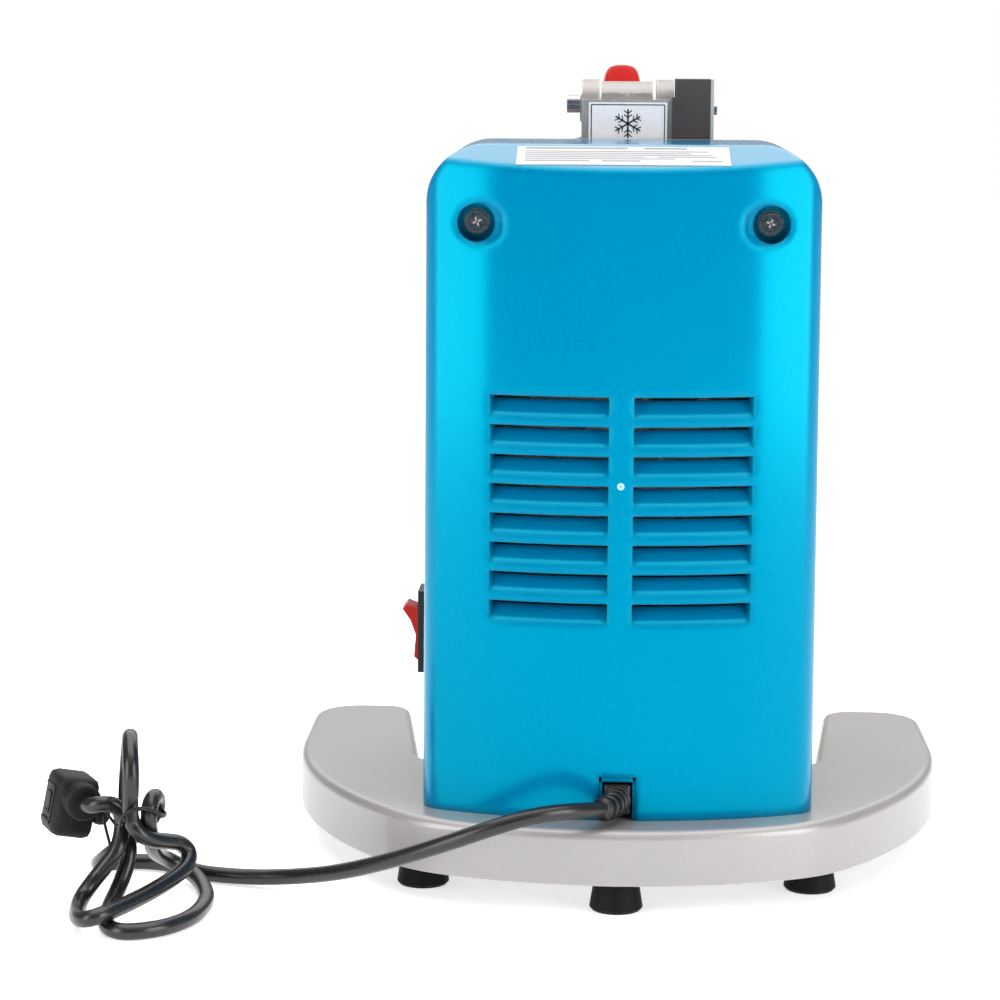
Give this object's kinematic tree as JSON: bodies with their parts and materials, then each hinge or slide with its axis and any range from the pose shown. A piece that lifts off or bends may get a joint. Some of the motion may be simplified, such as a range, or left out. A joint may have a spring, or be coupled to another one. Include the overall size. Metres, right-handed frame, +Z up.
{
  "type": "shaved ice machine",
  "caption": "Electric ice shaver: louvred motor body on a horseshoe base, cast drum with hopper, chute and a hinged presser lever, rocker switch and a tied power cord.",
  "frame": {"origin": "centre of the machine's footprint, at the table surface", "axes": "+Z up, -Y towards the shaving chamber and bowl, +Y towards the louvred rear cover, +X towards the side with the power switch"},
  "size_m": [0.4317, 0.3175, 0.3826],
  "materials": {
    "base_paint": "satin silver",
    "cover_plastic": "gloss cyan blue",
    "frame_paint": "satin silver",
    "cast_alloy": "blasted casting",
    "steel": "brushed",
    "plated": "bright",
    "foot_rubber": "matt",
    "cord_rubber": "smooth",
    "black_plastic": "satin",
    "dark_plastic": "satin",
    "red_grip": "gloss",
    "red_rocker": "translucent",
    "label_film": "printed film",
    "copper": "enamelled wire",
    "core_steel": "laminated",
    "white_plastic": "satin",
    "brass": "bright"
  },
  "bodies": {
    "machine": {"base": "base_paint", "capacitor_clip": "black_plastic", "chamber": "cast_alloy", "chamber_bolts": "steel", "chute": "steel", "chute_screws": "plated", "cord_boot": "cord_rubber", "cord_hank": "cord_rubber", "cord_tie": "black_plastic", "cord_tube": "cord_rubber", "cover_screws": "plated", "feet": "foot_rubber", "foot_screws": "steel", "frame_screws": "steel", "front_cover": "cast_alloy", "front_cover_screws": "steel", "front_frame": "frame_paint", "interlock_box": "dark_plastic", "interlock_cover": "frame_paint", "interlock_screw": "plated", "microswitch": "black_plastic", "motor_bearings": "plated", "motor_bolts": "steel", "motor_front_bell": "cast_alloy", "motor_rear_bell": "cast_alloy", "motor_stator": "core_steel", "motor_windings": "copper", "nameplate": "label_film", "plug_body": "cord_rubber", "plug_pins": "brass", "rating_label": "label_film", "rear_cover": "cover_plastic", "run_capacitor": "white_plastic", "shaft_seal": "foot_rubber", "switch_housing": "black_plastic", "switch_terminals": "brass", "terminal_block": "white_plastic", "wiring": "red_grip"},
    "lever": {"lever_arm": "cast_alloy", "presser": "cast_alloy", "presser_screws": "steel", "lever_grip": "red_grip", "hinge_pin": "plated", "pin_washer": "steel", "interlock_cam": "white_plastic"},
    "spindle": {"motor_shaft": "steel", "rotor": "core_steel", "cooling_fan": "white_plastic", "disc_hub": "cast_alloy", "blade_disc": "cast_alloy", "blades": "steel", "blade_screws": "steel", "disc_nut": "plated"},
    "rocker": {"switch_rocker": "red_rocker"},
    "plunger": {"interlock_plunger": "white_plastic"}
  },
  "joints": [
    {"name": "lever_hinge", "type": "hinge", "parent": "machine", "child": "lever", "pos_m": [0, -0.0385, 0.3634], "axis": [-1, 0, 0], "range_deg": [0, 80]},
    {"name": "spindle_turn", "type": "hinge", "parent": "machine", "child": "spindle", "pos_m": [0, 0, 0.2274], "axis": [0, 1, 0], "continuous": true},
    {"name": "power_switch", "type": "hinge", "parent": "machine", "child": "rocker", "pos_m": [0.0906, 0.046, 0.1166], "axis": [0, -1, 0], "range_deg": [0, 18]},
    {"name": "interlock_slide", "type": "slide", "parent": "machine", "child": "plunger", "axis": [0, 0, 1], "range_m": [0, 0.0024]}
  ],
  "couplings": [
    {"joint": "interlock_slide", "follows": "lever_hinge", "m_per_rad": 0.001718}
  ]
}
